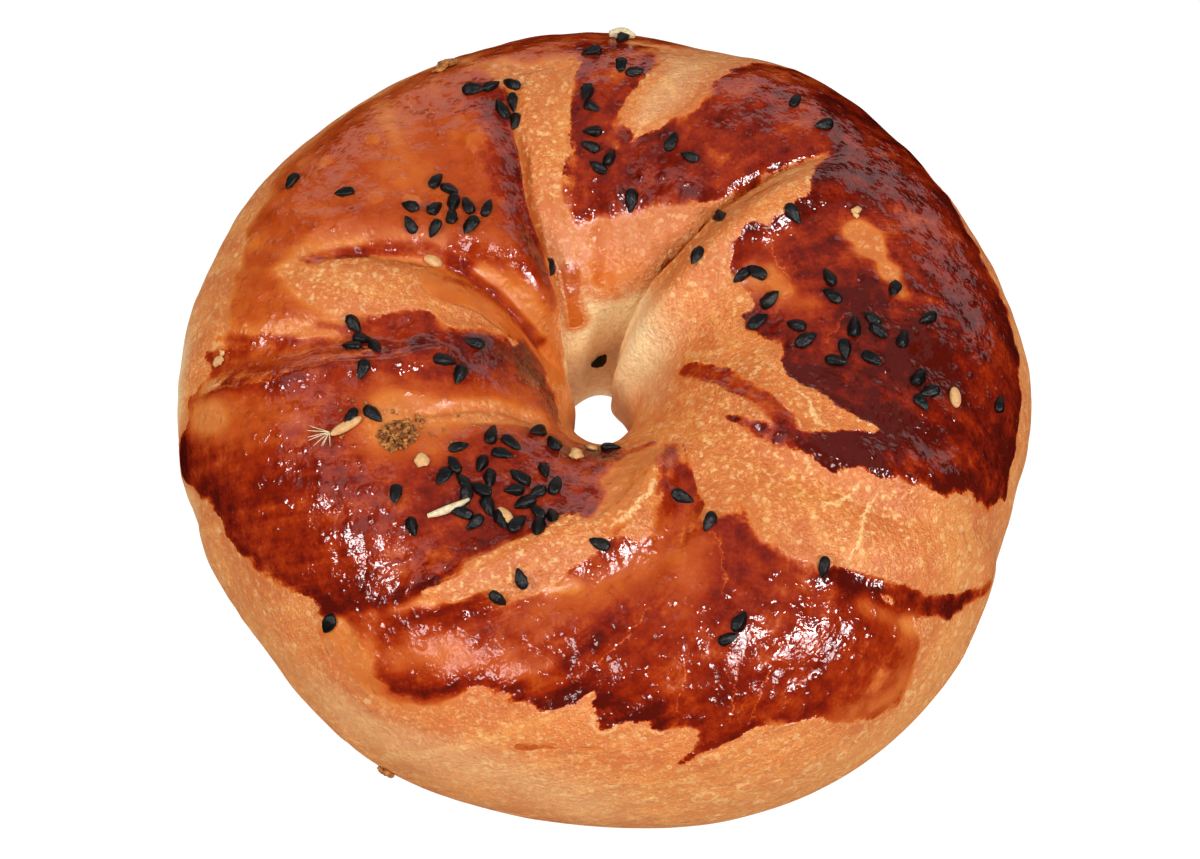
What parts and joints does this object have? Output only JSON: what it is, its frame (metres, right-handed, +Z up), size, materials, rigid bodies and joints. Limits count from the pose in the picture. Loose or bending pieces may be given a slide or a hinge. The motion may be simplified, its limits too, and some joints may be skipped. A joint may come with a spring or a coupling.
{
  "type": "acma bread ring",
  "caption": "Soft ring of twisted, egg-washed bread dough round a small hole, flat underneath, its folded and glazed top strewn with nigella seeds.",
  "frame": {"origin": "on the surface that the bread rests on, under the middle of its box", "axes": "+Z up out of the flat underside along the hole, -Y towards the front of the picture's view, +X to its right"},
  "size_m": [0.1152, 0.1142, 0.0468],
  "materials": {
    "crust": "baked bread crust: pale matt dough with patches of glossy brown egg wash",
    "nigella": "dull black nigella seed with a fine wrinkled skin",
    "crumb": "dry bread crumb, skin flake and straw-coloured grain"
  },
  "bodies": {
    "root": {"bread_ring": "crust"}
  },
  "joints": []
}
